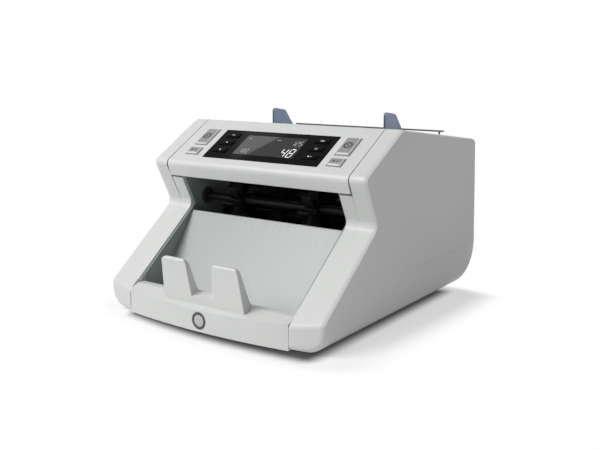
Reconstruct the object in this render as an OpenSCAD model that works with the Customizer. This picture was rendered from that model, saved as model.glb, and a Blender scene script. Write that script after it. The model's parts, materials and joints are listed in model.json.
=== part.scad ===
// Friction-feed banknote counter, in millimetres, standing on the floor plane.
// X runs to the right, Y from the front to the back, Z up. Side views are drawn with the
// front-most point at Y = 0, and home() then centres the whole machine over its footprint.

/* [Case] */
// Clear width between the two chassis plates
bay_w = 185; // [182:0.5:187]
// Width of the light strip beside the pocket
strip_w = 13.8; // [13:0.1:15]
// Width of each side cover
cover_w = 18.2; // [15:0.1:20]
// Wall thickness of the moulded covers
wall = 2.8; // [2.4:0.1:3.2]
// Width of the side covers' rounded outer edges
edge_r = 3.2; // [2.6:0.1:4]
// Radius of the front panel's bow, seen from above
bow_r = 640; // [560:10:720]
// Height of the rubber feet
foot_h = 5; // [4:0.5:7]

/* [Pocket] */
// Height of the prongs' top edge above the floor
prong_top = 66; // [56:1:72]
// Width of a prong at its top
prong_w = 29; // [24:1:32]
// Height of the pocket's floor, at the foot of the ramp
pocket_z = 15; // [13:0.5:18]

/* [Note path] */
// Diameter of the driven shafts
shaft_d = 8; // [6:0.5:9]
// Radius of the pickup rollers
pickup_r = 17; // [16:0.1:17.3]
// Radius of the feed rollers
feed_r = 16; // [14.5:0.1:16.4]
// Radius of the transport rollers
transport_r = 11; // [9.5:0.1:11.4]
// Radius of the stacker wheels over the blades
stacker_r = 22; // [18:0.5:23.5]
// Number of blades on a stacker wheel
blades = 8; // [5:1:9]
// Running radius of every belt pulley
pulley_r = 8; // [7:0.1:8.5]

/* [Controls] */
// Width of the control glass
glass_w = 138; // [136:0.5:142]
// Length of the control glass up the slope
glass_h = 47; // [46:0.5:48.5]
// Width of the display behind the glass
display_w = 72; // [66:1:78]
// Width of a flat key
key_w = 16.4; // [14:0.2:17.6]
// Length of a flat key up the slope
key_h = 6.8; // [6:0.1:7.4]
// Width of a grey button
button_w = 15; // [13:0.2:15.4]
// Height of the grey buttons above the cover
button_rise = 2; // [1.3:0.1:2.4]

/* [Hopper] */
// Distance of each note guide's inner face from the chassis plate, as shown
guide_in = 23.5; // [20.5:0.5:26.5]
// Thickness of a note guide
guide_t = 2.5; // [2:0.1:3]
// Height of the note guides' tops above the floor
guide_top = 190; // [180:1:196]
// Diameter of the rear rail
rail_d = 1.8; // [1.6:0.1:2.4]

/* [Fits] */
// Radial clearance of a turning shaft
run_gap = 0.05; // [0.02:0.01:0.09]
// Clearance round a key or button
slide_gap = 0.3; // [0.25:0.05:0.4]
// Open seam between covers
seam = 0.5; // [0.3:0.1:0.7]

/* [Hidden] */
$fn = 64;

// Distances across the machine, measured from the middle
bay = bay_w / 2;
plate_t = 2;
strip_in = bay + plate_t;
strip_out = strip_in + strip_w;
half_w = strip_out + cover_w;
guide_x = bay - guide_in;

case_z = 5;
mid_y = 155.25;
back_foot = [312, 5];
back_head = [302.5, 159];
nose = [75, 140.8];
brow = [139.84, 179.28];
waist = [97.4, 95.8];
arm_rise = 0.8;
strip_front = 7.6;
// The skirt of the covers hangs below the base pan, and its outer edge is rounded by skirt_r
skirt_z = 2;
skirt_r = cover_w - 1.2;
function skirt_low(x) = skirt_z + skirt_r - sqrt(skirt_r * skirt_r - pow(max(0, x - half_w + skirt_r), 2));

// Side view of the whole case with its front at f and its foot at z: [Y, Z, corner radius], anticlockwise
function case_side(f, z) = [
    [f, z, 6],
    [back_foot.x, z + 1, 28],
    [back_head.x, back_head.y, 8],
    [brow.x, brow.y, 9],
    [nose.x, nose.y, 6],
    [waist.x, waist.y, 9],
    [f, arm_z(f), 7]
];
// Front of the case at a distance x from the middle, where it follows the bow
function front_y(x) = 0.3 + bow_r - sqrt(bow_r * bow_r - x * x);

// Sloped control panel
panel_tilt = atan2(brow.y - nose.y, brow.x - nose.x);
glass_foot = nose + 12.2 * [cos(panel_tilt), sin(panel_tilt)];
glass_t = 2.2;
display_t = 7.3;
board_deep = glass_t + display_t;
key_x = glass_w / 2 - 15;
key_v = [for (k = [-1:1]) glass_h / 2 + 1.5 + 12.4 * k];
button_x = glass_w / 2 + 16.2;
tall_v = [19.3, 45.3];
short_v = [2.8, 13.6];

// Axes of the shafts in the side view
pickup_at = [196, 119.5];
feed_at = [163, 112];
transport_at = [150, 84];
idler_at = [137.5, 70.5];
retard_at = [143.5, 124.5];
stacker_at = [118, 102];
feed_motor_at = [236, 46];
stacker_motor_at = [100, 36];
hinge_at = [303, 91.2];
guide_rod_at = [224, 132];
idler_d = 5;
retard_d = 6;
hinge_d = 5;
guide_rod_d = 5;
roll_gap = 0.4;
idler_r = norm(transport_at - idler_at) - transport_r - roll_gap;
retard_r = norm(feed_at - retard_at) - feed_r - roll_gap;

// Belts
belt_t = 1.2;
belt_w = 4;
belt_gap = 0.2;
lane_1 = strip_in + 1.6;
lane_2 = lane_1 + 5.6;

// Hopper bed and rear wall
bed_front = [176, 129];
bed_back = [280, 160.2];
bed_t = 2.5;
bed_rise = (bed_back.y - bed_front.y) / (bed_back.x - bed_front.x);

// Height of the strips' upper edge at a distance from the front
function arm_z(y) = waist.y + arm_rise * (y - waist.x);
// Height of the hopper bed's upper face
function bed_z(y) = bed_front.y + bed_rise * (y - bed_front.x);
// Distance of the back wall's outer face at a height
function back_y(z) = back_head.x + (back_head.y - z) * (back_foot.x - back_head.x) / 154;
back_tilt = atan((back_foot.x - back_head.x) / 154);

function unit(v) = v / norm(v);
function turn(a, b) = ((b - a + 540) % 360) - 180;
// Points of one corner of a side view, rounded by the radius in the corner's third value
function corner(a, b, c, steps) =
    let (
        p = [b.x, b.y],
        u = unit([a.x, a.y] - p),
        v = unit([c.x, c.y] - p),
        half = acos(u * v) / 2,
        middle = p + unit(u + v) * (b.z / sin(half)),
        first = p + u * (b.z / tan(half)) - middle,
        last = p + v * (b.z / tan(half)) - middle,
        start = atan2(first.y, first.x),
        sweep = turn(start, atan2(last.y, last.x))
    )
    [for (i = [0:steps]) middle + b.z * [cos(start + sweep * i / steps), sin(start + sweep * i / steps)]];
function rounded(pts, steps = 6) =
    let (n = len(pts))
    [for (i = [0:n - 1]) each (pts[i].z > 0
        ? corner(pts[(i + n - 1) % n], pts[i], pts[(i + 1) % n], steps)
        : [[pts[i].x, pts[i].y]])];
// Corner list moved inwards by t, for an anticlockwise list
function inset(pts, t) =
    let (n = len(pts))
    [for (i = [0:n - 1])
        let (
            a = pts[(i + n - 1) % n],
            b = pts[i],
            c = pts[(i + 1) % n],
            d0 = unit([b.x - a.x, b.y - a.y]),
            d1 = unit([c.x - b.x, c.y - b.y]),
            n0 = [-d0.y, d0.x],
            n1 = [-d1.y, d1.x],
            q = [b.x, b.y] + (n0 + n1) * t / (1 + n0 * n1),
            bend = d0.x * d1.y - d0.y * d1.x
        )
        [q.x, q.y, b.z == 0 ? 0 : (bend > 0 ? max(0.2, b.z - t) : b.z + t)]];

// Places side-view coordinates over the footprint
module home() {
    translate([0, -mid_y, foot_h - case_z])
        children();
}

// Side-view outline drawn across the machine from x0 to x1
module slab(x0, x1, pts) {
    translate([x0, 0, 0])
        rotate([90, 0, 90])
            linear_extrude(height = x1 - x0)
                polygon(pts);
}

// Round bar across the machine
module bar(at, r, x0, x1) {
    translate([x0, at.x, at.y])
        rotate([0, 90, 0])
            cylinder(r = r, h = x1 - x0);
}

// Hollow round bar across the machine
module sleeve(at, r, bore, x0, x1) {
    difference() {
        bar(at, r, x0, x1);
        bar(at, bore, x0 - 1, x1 + 1);
    }
}

module box(x0, x1, y0, y1, z0, z1) {
    translate([x0, y0, z0])
        cube([x1 - x0, y1 - y0, z1 - z0]);
}

module mirrored() {
    children();
    mirror([1, 0, 0])
        children();
}

// Frame on the control panel: X across, Y up the slope from the glass's foot, Z outwards
module on_panel() {
    translate([0, glass_foot.x, glass_foot.y])
        rotate([panel_tilt, 0, 0])
            children();
}

// Frame on the back panel: X across, Y outwards, Z up the wall
module on_back() {
    translate([0, back_y(60), 60])
        rotate([back_tilt, 0, 0])
            children();
}

// Case

// Above this height the side covers keep an inner wall, which lines the hopper
lining_z = 118;

module side_shell() {
    edge_turn = 48;
    bend = edge_r / sin(edge_turn);
    levels = concat(
        [for (x = [strip_out, half_w - skirt_r, half_w - skirt_r + 4, half_w - skirt_r + 8.6]) [x, 0]],
        [for (a = [0:12:edge_turn]) [half_w - edge_r + bend * sin(a), bend * (1 - cos(a))]]);
    rings = [for (l = levels) rounded(inset(case_side(front_y(l.x), skirt_low(l.x) - l.y), l.y), 7)];
    m = len(rings[0]);
    n = len(levels);
    heart = [165, 85];
    pts = concat(
        [for (k = [0:n - 1]) for (p = rings[k]) [levels[k].x, p.x, p.y]],
        [[strip_out, heart.x, heart.y], [half_w, heart.x, heart.y]]);
    last = (n - 1) * m;
    skin = [for (k = [0:n - 2]) for (i = [0:m - 1])
        let (j = (i + 1) % m)
        each [
            [k * m + i, (k + 1) * m + j, k * m + j],
            [k * m + i, (k + 1) * m + i, (k + 1) * m + j]
        ]];
    caps = [for (i = [0:m - 1])
        let (j = (i + 1) % m)
        each [
            [i, j, n * m],
            [last + j, last + i, n * m + 1]
        ]];
    steps = [half_w - skirt_r + 4, half_w - skirt_r + 8.6, half_w - wall];
    hollow = [for (x = steps) rounded(inset(case_side(front_y(half_w), skirt_low(x)), wall), 3)];
    difference() {
        polyhedron(pts, concat(caps, skin));
        for (k = [0:2])
            slab(strip_out + wall, steps[k], hollow[k]);
        intersection() {
            slab(strip_out - 1, strip_out + wall + 1, hollow[0]);
            box(0, half_w, 0, 400, 0, lining_z);
        }
    }
}

module right_side_cover() {
    color("gainsboro")
        home()
            side_shell();
}

module left_side_cover() {
    color("gainsboro")
        home()
            mirror([1, 0, 0])
                side_shell();
}

module top_cover() {
    outline = [
        [80.6, 126.2, 0.6],
        [146.5, 126.2, 0],
        [146.5, 178.4, 2],
        [brow.x, brow.y, 9],
        [nose.x, nose.y, 6]
    ];
    end = strip_out - seam;
    color("gainsboro")
        home()
            difference() {
                slab(-end, end, rounded(outline, 7));
                slab(-end - 1, end + 1, rounded(inset(outline, wall + 0.4), 5));
                slab(-end - 1, end + 1, [[92, 120], [150, 120], [150, 166], [126, 166], [92, 140]]);
                on_panel() {
                    box(-glass_w / 2 - 0.2, glass_w / 2 + 0.2, -0.2, glass_h + 0.2, -glass_t, 3);
                    box(-glass_w / 2 + 3, glass_w / 2 - 3, 3, glass_h - 3, -12, 3);
                    for (s = [-1, 1])
                        for (v = [tall_v, short_v])
                            button_hole(s, v);
                }
            }
}

module button_hole(s, v) {
    box(s * button_x - button_w / 2 - slide_gap, s * button_x + button_w / 2 + slide_gap,
        v[0] - slide_gap, v[1] + slide_gap, -8, 4);
}

module cheek() {
    outline = [
        [strip_front, skirt_z, 6],
        [50, skirt_z, 0],
        [101.5, 88, 0],
        [104.4, 97, 4],
        [93, 124.6, 0],
        [83.06, 124.6, 0],
        [waist.x, waist.y, 9],
        [strip_front, arm_z(strip_front), 7]
    ];
    hollow = [
        [strip_front, skirt_z, 6],
        [50, skirt_z, 0],
        [97, 82, 0],
        [84, arm_z(84), 0],
        [strip_front, arm_z(strip_front), 7]
    ];
    intersection() {
        difference() {
            slab(strip_in, strip_out, rounded(outline, 7));
            slab(strip_in + wall, strip_out + 1, rounded(inset(hollow, wall), 3));
        }
        bow(0.3, 0);
    }
}

// Upright round wall that bows the front of the case
module bow(front, t) {
    translate([0, front + bow_r, -50])
        cylinder(r = bow_r - t, h = 300, $fn = 200);
}

module right_cheek() {
    color("gainsboro")
        home()
            cheek();
}

module left_cheek() {
    color("gainsboro")
        home()
            mirror([1, 0, 0])
                cheek();
}

module front_panel() {
    side = strip_in - 0.3;
    top = [[-2, 21], [17.2, 29.4], [24, 29.4], [24, skirt_z], [-2, skirt_z]];
    under = [[-3, 17.7], [17.6, 26.6], [21.4, 26.6], [21.4, -3], [-3, -3]];
    color("gainsboro")
        home()
            difference() {
                union() {
                    difference() {
                        intersection() {
                            slab(-side, side, top);
                            bow(0.4, 0);
                        }
                        intersection() {
                            slab(-side + wall, side - wall, under);
                            bow(0.4, wall);
                        }
                    }
                    mirrored()
                        prong();
                    slab(-prong_x, prong_x, prong_wall);
                }
                badge_seat();
            }
}

// The raised wall between the prongs, in side view
prong_x = 30;
prong_wall = [[7, 22.4], [5.58, 32.2], [16, 35.6], [17, 34.6], [17, 24]];

// One of the two upright prongs that hold the stack
module prong() {
    middle = prong_x;
    foot_w = prong_w + 7;
    lean = [[7, 22.4], [0.9, prong_top - 1.6], [1.9, prong_top], [4.4, prong_top], [17, 29.4], [17, 24]];
    face = [
        [middle - foot_w / 2, 20, 0],
        [middle + foot_w / 2, 20, 0],
        [middle + prong_w / 2, prong_top + 0.2, 5],
        [middle - prong_w / 2, prong_top + 0.2, 5]
    ];
    intersection() {
        slab(0, 60, lean);
        translate([0, 40, 0])
            rotate([90, 0, 0])
                linear_extrude(height = 60)
                    polygon(rounded(face, 6));
    }
}

badge_at = 12.4;
badge_r = 8;
module badge_seat() {
    translate([0, 1.2, badge_at])
        rotate([90, 0, 0])
            cylinder(r = badge_r + 0.1, h = 5);
}

module badge() {
    color("dimgray")
        home()
            translate([0, 1.2, badge_at])
                rotate([90, 0, 0])
                    difference() {
                        cylinder(r = badge_r, h = 1.2);
                        translate([0, 0, 0.8])
                            difference() {
                                cylinder(r = 5.6, h = 1);
                                cylinder(r = 2.6, h = 3, center = true);
                            }
                    }
}

// Bent sheet: a level floor behind the front panel, and the ramp that rises to the stacker wheels
module pocket_ramp() {
    t = 2.5;
    start = 24.3;
    foot = [45, pocket_z];
    lip = [95.5, 90];
    across = unit([lip.y - foot.y, foot.x - lip.x]);
    under = foot + t * ([0, -1] + across) / (1 - across.y);
    outline = [
        [start, pocket_z - t, 0],
        [under.x, under.y, 9 + t],
        [lip.x + t * across.x, lip.y + t * across.y, 0.8],
        [lip.x, lip.y, 1.2],
        [foot.x, foot.y, 9],
        [start, pocket_z, 0]
    ];
    color("silver")
        home()
            slab(-bay, bay, rounded(outline, 5));
}

module base_pan() {
    t = 2.5;
    outline = [
        [24.5, case_z, 0],
        [back_foot.x, back_foot.y, 28],
        [back_y(38), 38, 0],
        [back_y(38) - t, 38, 0],
        [back_foot.x - t, case_z + t, 28 - t],
        [24.5, case_z + t, 0]
    ];
    color("gainsboro")
        home()
            difference() {
                union() {
                    slab(-strip_out, strip_out, rounded(outline, 8));
                    for (p = board_posts)
                        translate([p.x, p.y, case_z + t])
                            cylinder(r = 3, h = 5.5);
                }
                mirrored()
                    box(strip_in, strip_out + 1, 0, 54.5, 0, 10);
                for (p = screw_spots)
                    translate([p.x, p.y, 0])
                        cylinder(d = screw_d + 0.2, h = 20);
            }
}
board_x = -bay + 4.5;
board_end = bay - 82.5;
board_posts = [for (x = [board_x + 13, board_end - 6]) for (y = [200, 276]) [x, y]];
screw_d = 3;
flange_w = 12;
screw_spots = [for (s = [-1, 1]) for (y = [80, 190, 246]) [s * (bay - flange_w / 2), y]];

module base_screws() {
    color("darkgray")
        home()
            for (p = screw_spots)
                translate([p.x, p.y, case_z - 1.8]) {
                    cylinder(r = 2.9, h = 1.8);
                    cylinder(d = screw_d, h = 8);
                }
}

module feet() {
    color("black")
        home()
            for (s = [-1, 1])
                for (y = [48, 270])
                    translate([s * (bay - 12.5), y, case_z - foot_h])
                        cylinder(r = 9, h = foot_h);
}

module back_panel() {
    t = 2.5;
    color("gainsboro")
        home()
            difference() {
                slab(-strip_out, strip_out, [
                    [back_y(38.4) - t, 38.4],
                    [back_y(38.4), 38.4],
                    [back_y(86.4), 86.4],
                    [back_y(86.4) - t, 86.4]
                ]);
                on_back()
                    box(13, 71, -9, 5, -12.8, 12.8);
            }
}

// Chassis

chassis_side = [
    [25, 7.5], [280, 7.5], [299, 27], [303, 60], [303, 84], [298, 84], [298, 96], [296, 140],
    [290, 151], [272, 151], [172, 121.5], [158, 131.2], [93.2, 131.2], [93.2, 125.4],
    [85.2, 125.4], [99.6, 96.2], [25, 35.6]
];
driven = [pickup_at, feed_at, transport_at, stacker_at];
bush_r = shaft_d / 2 + 3;

module chassis(side, motor_at) {
    difference() {
        union() {
            slab(bay, bay + plate_t, chassis_side);
            bar(hinge_at, 5, bay, bay + plate_t);
            box(bay, bay + plate_t, 296, 303, 86, 96);
            box(bay - flange_w, bay, 60, 278, 7.5, 9.5);
        }
        for (p = driven)
            bar(p, bush_r, bay - 1, bay + plate_t + 1);
        bar(hinge_at, hinge_d / 2, bay - 1, bay + plate_t + 1);
        bar(motor_at, 6, bay - 1, bay + plate_t + 1);
        for (p = screw_spots)
            translate([abs(p.x), p.y, 0])
                cylinder(d = screw_d, h = 20);
    }
}

module right_chassis() {
    color("dimgray")
        home()
            chassis(1, stacker_motor_at);
}

module left_chassis() {
    color("dimgray")
        home()
            mirror([1, 0, 0])
                chassis(-1, feed_motor_at);
}

module shaft_bushes() {
    color("goldenrod")
        home()
            mirrored()
                for (p = driven)
                    difference() {
                        union() {
                            bar(p, bush_r, bay - 1.5, bay + plate_t);
                            bar(p, bush_r + 1.6, bay - 1.5, bay);
                        }
                        bar(p, shaft_d / 2 + run_gap, bay - 3, bay + plate_t + 2);
                    }
}

module fixed_axles() {
    color("silver")
        home() {
            bar(idler_at, idler_d / 2, -bay, bay);
            bar(retard_at, retard_d / 2, -bay, bay);
        }
}

module retard_sleeves() {
    color("black")
        home()
            mirrored()
                sleeve(retard_at, retard_r, retard_d / 2, 18, 34);
}

module divider() {
    color("dimgray")
        home()
            box(-bay + flange_w, bay - flange_w, 184, 186, 7.5, 98);
}

module sensor_bar() {
    color("darkslategray")
        home()
            difference() {
                box(-bay, bay, 168, 175, 70, 90);
                for (x = [-70:20:70])
                    translate([x, 170, 81])
                        rotate([90, 0, 0])
                            cylinder(r = 3, h = 5);
            }
}

module hopper_front() {
    color("dimgray")
        home()
            slab(-strip_out + seam, strip_out - seam, [[146.5, 174], [149, 174], [153.6, 131.5], [151, 131.5]]);
}

// Rear cover with the hopper bed, hinged low at the back

module rear_cover() {
    end = strip_out - seam;
    under = bed_t * sqrt(1 + bed_rise * bed_rise);
    low = 89.4;
    top_in = bed_back.y - bed_t;
    outline = [
        [bed_front.x, bed_front.y, 0],
        [bed_front.x + 0.7, bed_z(bed_front.x + 0.7) - under, 0],
        [bed_front.x + (top_in + under - bed_front.y) / bed_rise, top_in, 0],
        [back_y(top_in) - bed_t, top_in, 5.5],
        [back_y(low) - bed_t, low, 0],
        [back_y(low), low, 0],
        [back_y(bed_back.y), bed_back.y, 8],
        [bed_back.x, bed_back.y, 4]
    ];
    color("gainsboro")
        home()
            difference() {
                union() {
                    slab(-end, end, rounded(outline, 6));
                    bar(hinge_at, 4, -bay + 0.3, bay - 0.3);
                    mirrored()
                        rod_bracket(bay - 5, bay - 2);
                    rod_bracket(-2, 2);
                }
                bar(hinge_at, hinge_d / 2 + run_gap, -bay - 1, bay + 1);
                bar(guide_rod_at, guide_rod_d / 2, -bay, bay);
                mirrored() {
                    bar(hinge_at, 6.4, bay - 0.2, bay + plate_t + 1.4);
                    box(39, 57, 170, 210, 120, 145);
                    box(guide_x - 16, guide_x + 16.5, 218, 230, 120, 160);
                }
            }
}

// Lug under the hopper bed that holds the guide rod
module rod_bracket(x0, x1) {
    y0 = guide_rod_at.x - 6;
    y1 = guide_rod_at.x + 6;
    slab(x0, x1, [
        [y0, guide_rod_at.y - 5],
        [y1, guide_rod_at.y - 5],
        [y1, bed_z(y1) - 1],
        [y0, bed_z(y0) - 1]
    ]);
}

module hinge_pins() {
    color("silver")
        home()
            mirrored()
                bar(hinge_at, hinge_d / 2, bay - 10, bay + plate_t + 1);
}

module guide_rod() {
    color("silver")
        home()
            bar(guide_rod_at, guide_rod_d / 2, -bay + 2, bay - 2);
}

rail_at = [285, 166.6];
module rear_rail() {
    color("dimgray")
        home()
            union() {
                bar(rail_at, rail_d / 2, -bay - 4.5, bay + 4.5);
                for (s = [-1, 1])
                    translate([s * (bay - 0.5), rail_at.x, bed_back.y])
                        cylinder(d = rail_d, h = rail_at.y - bed_back.y);
            }
}

// Fin that stands in the hopper, with a sleeve that rides on the guide rod
module guide() {
    y0 = 204.5;
    y1 = 243;
    outline = [
        [y0, bed_z(y0) + 0.4, 0],
        [y1, bed_z(y1) + 0.4, 0],
        [y1, 166, 4],
        [225, guide_top - 3, 6],
        [y0, guide_top, 3]
    ];
    difference() {
        union() {
            slab(guide_x, guide_x + guide_t, rounded(outline, 5));
            box(guide_x, guide_x + guide_t, 219, 229, guide_rod_at.y, bed_z(224));
            bar(guide_rod_at, 5, guide_x - 3, guide_x + 7);
        }
        bar(guide_rod_at, guide_rod_d / 2 + run_gap, 0, 110);
    }
}

module right_guide() {
    color("lightsteelblue", 0.6)
        home()
            guide();
}

module left_guide() {
    color("lightsteelblue", 0.6)
        home()
            mirror([1, 0, 0])
                guide();
}

// Turning parts of the note path

// Belt pulley with two flanges; its belt lane starts at x0
module pulley(at, x0) {
    bar(at, pulley_r, x0 - 0.2, x0 + belt_w + 0.2);
    bar(at, pulley_r + 2, x0 - 0.8, x0 - 0.2);
    bar(at, pulley_r + 2, x0 + belt_w + 0.2, x0 + belt_w + 0.8);
}

module pickup_shaft() {
    color("silver")
        home()
            mirror([1, 0, 0])
                union() {
                    bar(pickup_at, shaft_d / 2, -strip_in - 1, lane_2 + belt_w + 1);
                    pulley(pickup_at, lane_2);
                }
}

module pickup_rollers() {
    color("black")
        home()
            mirrored()
                sleeve(pickup_at, pickup_r, shaft_d / 2, 40, 56);
}

module feed_shaft() {
    color("silver")
        home()
            union() {
                bar(feed_at, shaft_d / 2, -lane_2 - belt_w - 1, lane_1 + belt_w + 1);
                pulley(feed_at, lane_1);
                mirror([1, 0, 0]) {
                    pulley(feed_at, lane_1);
                    pulley(feed_at, lane_2);
                }
            }
}

module feed_rollers() {
    color("black")
        home()
            mirrored()
                sleeve(feed_at, feed_r, shaft_d / 2, 18, 34);
}

module transport_shaft() {
    color("silver")
        home()
            union() {
                bar(transport_at, shaft_d / 2, -strip_in - 1, lane_1 + belt_w + 1);
                pulley(transport_at, lane_1);
            }
}

module transport_rollers() {
    color("black")
        home()
            mirrored() {
                sleeve(transport_at, transport_r, shaft_d / 2, 12, 28);
                sleeve(transport_at, transport_r, shaft_d / 2, bay - 30.5, bay - 14.5);
            }
}

module timing_disc() {
    color("dimgray")
        home()
            translate([bay - 10.5, transport_at.x, transport_at.y])
                rotate([0, 90, 0])
                    difference() {
                        cylinder(r = 14, h = 1.2);
                        cylinder(d = shaft_d, h = 5, center = true);
                        for (a = [0:30:330])
                            rotate([0, 0, a])
                                translate([9, -1, -1])
                                    cube([3.5, 2, 4]);
                    }
}

module idler_rollers() {
    color("dimgray")
        home()
            mirrored() {
                sleeve(idler_at, idler_r, idler_d / 2 + run_gap, 14, 26);
                sleeve(idler_at, idler_r, idler_d / 2 + run_gap, bay - 28.5, bay - 16.5);
            }
}

module stacker_shaft() {
    color("silver")
        home()
            union() {
                bar(stacker_at, shaft_d / 2, -strip_in - 1, lane_1 + belt_w + 1);
                pulley(stacker_at, lane_1);
            }
}

module stacker_wheels() {
    color("darkslategray")
        home()
            mirrored()
                translate([40, stacker_at.x, stacker_at.y])
                    rotate([90, 0, 90])
                        linear_extrude(height = 12)
                            difference() {
                                union() {
                                    circle(r = shaft_d / 2 + 3.5);
                                    for (k = [0:blades - 1])
                                        rotate(k * 360 / blades)
                                            blade();
                                }
                                circle(r = shaft_d / 2);
                            }
}

// Curved blade: an arc that leaves the hub and ends at the wheel's rim
module blade() {
    r = stacker_r * 0.74;
    intersection() {
        circle(r = stacker_r);
        translate([r, 0])
            difference() {
                circle(r = r + 0.7);
                circle(r = r - 0.7);
            }
        square([stacker_r, stacker_r]);
    }
}

// Drives

module feed_motor() {
    color("darkgray")
        home()
            difference() {
                union() {
                    bar(feed_motor_at, 20, -bay, -bay + 52);
                    bar(feed_motor_at, 7, -bay + 52, -bay + 56);
                }
                bar(feed_motor_at, 2.5 + run_gap, -bay - 1, -bay + 6);
            }
}

module feed_motor_pulley() {
    color("silver")
        home()
            mirror([1, 0, 0])
                union() {
                    bar(feed_motor_at, 2.5, bay - 5.5, lane_1);
                    pulley(feed_motor_at, lane_1);
                }
}

module stacker_motor() {
    color("darkgray")
        home()
            difference() {
                union() {
                    bar(stacker_motor_at, 15, bay - 44, bay);
                    bar(stacker_motor_at, 6, bay - 47, bay - 44);
                }
                bar(stacker_motor_at, 2.5 + run_gap, bay - 6, bay + 1);
            }
}

module stacker_motor_pulley() {
    color("silver")
        home()
            union() {
                bar(stacker_motor_at, 2.5, bay - 5.5, lane_1);
                pulley(stacker_motor_at, lane_1);
            }
}

// Belt round two equal pulleys
module belt(a, b, x0) {
    d = b - a;
    translate([x0, a.x, a.y])
        rotate([90, 0, 90])
            rotate(atan2(d.y, d.x))
                linear_extrude(height = belt_w)
                    difference() {
                        loop(norm(d), pulley_r + belt_gap + belt_t);
                        loop(norm(d), pulley_r + belt_gap);
                    }
}

module loop(l, r) {
    circle(r = r);
    translate([l, 0])
        circle(r = r);
    translate([0, -r])
        square([l, 2 * r]);
}

module feed_belts() {
    color("black")
        home() {
            belt(feed_at, transport_at, lane_1);
            belt(feed_motor_at, feed_at, -lane_1 - belt_w);
            belt(pickup_at, feed_at, -lane_2 - belt_w);
        }
}

module stacker_belt() {
    color("black")
        home()
            belt(stacker_motor_at, stacker_at, lane_1);
}

// Electrics

module main_board() {
    color("darkgreen")
        home()
            union() {
                box(board_x, board_end, 194, 282, 13, 14.6);
                box(board_x + 48, board_x + 72, 225, 249, 14.6, 17);
                box(board_end - 20, board_end - 4, 260, 272, 14.6, 22);
                for (x = [8:12:32])
                    translate([board_x + x, 262, 14.6])
                        cylinder(r = 4, h = 7);
            }
}

module power_supply() {
    color("silver")
        home()
            difference() {
                box(bay - 74.5, bay - 14.5, 206, 278, 7.5, 46);
                for (y = [214:8:270])
                    box(bay - 68.5, bay - 20.5, y, y + 3, 44, 50);
            }
}

// Inlet and switch in one housing
module mains_inlet() {
    color("black")
        home()
            on_back()
                difference() {
                    union() {
                        box(11, 73, 0, 1.2, -14.6, 14.6);
                        box(13.2, 70.8, -20, 0, -12.6, 12.6);
                    }
                    difference() {
                        box(42, 66, -16, 5, -7.5, 7.5);
                        for (x = [48, 54, 60])
                            box(x - 1, x + 1, -17, -9, -2, 2);
                    }
                    translate([18, rocker_y, 0])
                        rotate([0, 90, 0])
                            cylinder(r = rocker_r + 0.4, h = 14.6);
                }
}
rocker_r = 11;
rocker_y = -7.5;
rocker_tip = 7;
rocker_flat = rocker_r - 2.2;

module power_rocker() {
    color("black")
        home()
            on_back()
                translate([18.3, rocker_y, 0])
                    rotate([-rocker_tip, 0, 0])
                        difference() {
                            rotate([0, 90, 0])
                                cylinder(r = rocker_r, h = 14);
                            for (a = [rocker_tip, -rocker_tip])
                                rotate([a, 0, 0])
                                    translate([-1, rocker_flat, a > 0 ? -15 : rocker_flat * tan(-a)])
                                        cube([20, 5, 15 - rocker_flat * tan(abs(a))]);
                        }
}

// Controls

module control_glass() {
    color("black")
        home()
            on_panel()
                difference() {
                    box(-glass_w / 2, glass_w / 2, 0, glass_h, -glass_t, 0.1);
                    for (s = [-1, 1])
                        for (v = key_v)
                            box(s * key_x - key_w / 2 - slide_gap, s * key_x + key_w / 2 + slide_gap,
                                v - key_h / 2 - slide_gap, v + key_h / 2 + slide_gap, -5, 2);
                }
}

module display_module() {
    color("dimgray")
        home()
            on_panel()
                box(-display_w / 2, display_w / 2, 8, 39.5, -board_deep, -glass_t);
}

module control_board() {
    color("darkgreen")
        home()
            on_panel()
                union() {
                    box(-bay - 5.5, bay + 5.5, 0, glass_h + 1, -board_deep - 1.6, -board_deep);
                    for (s = [-1, 1]) {
                        for (v = key_v)
                            switch_body(s * key_x, v, 2.4);
                        for (v = [tall_v, short_v])
                            switch_body(s * button_x, (v[0] + v[1]) / 2, 2.2);
                    }
                }
}

module switch_body(x, v, h) {
    box(x - 3, x + 3, v - 3, v + 3, -board_deep, -board_deep + h);
}

// Flat key: its plunger ends just above the switch
module key(s, v) {
    on_panel()
        box(s * key_x - key_w / 2, s * key_x + key_w / 2, v - key_h / 2, v + key_h / 2, -6, 1);
}

// Grey button with a raised rim round a shallow field
module button(s, v) {
    x = s * button_x;
    on_panel()
        difference() {
            box(x - button_w / 2, x + button_w / 2, v[0], v[1], -6, button_rise);
            box(x - button_w / 2 + 1.2, x + button_w / 2 - 1.2, v[0] + 1.2, v[1] - 1.2,
                button_rise - 0.4, button_rise + 1);
        }
}

module left_tall_button() {
    color("darkgray")
        home()
            button(-1, tall_v);
}

module left_short_button() {
    color("darkgray")
        home()
            button(-1, short_v);
}

module right_tall_button() {
    color("darkgray")
        home()
            button(1, tall_v);
}

module right_short_button() {
    color("darkgray")
        home()
            button(1, short_v);
}

module left_key_1() {
    color("black")
        home()
            key(-1, key_v[0]);
}

module left_key_2() {
    color("black")
        home()
            key(-1, key_v[1]);
}

module left_key_3() {
    color("black")
        home()
            key(-1, key_v[2]);
}

module right_key_1() {
    color("black")
        home()
            key(1, key_v[0]);
}

module right_key_2() {
    color("black")
        home()
            key(1, key_v[1]);
}

module right_key_3() {
    color("black")
        home()
            key(1, key_v[2]);
}

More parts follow.
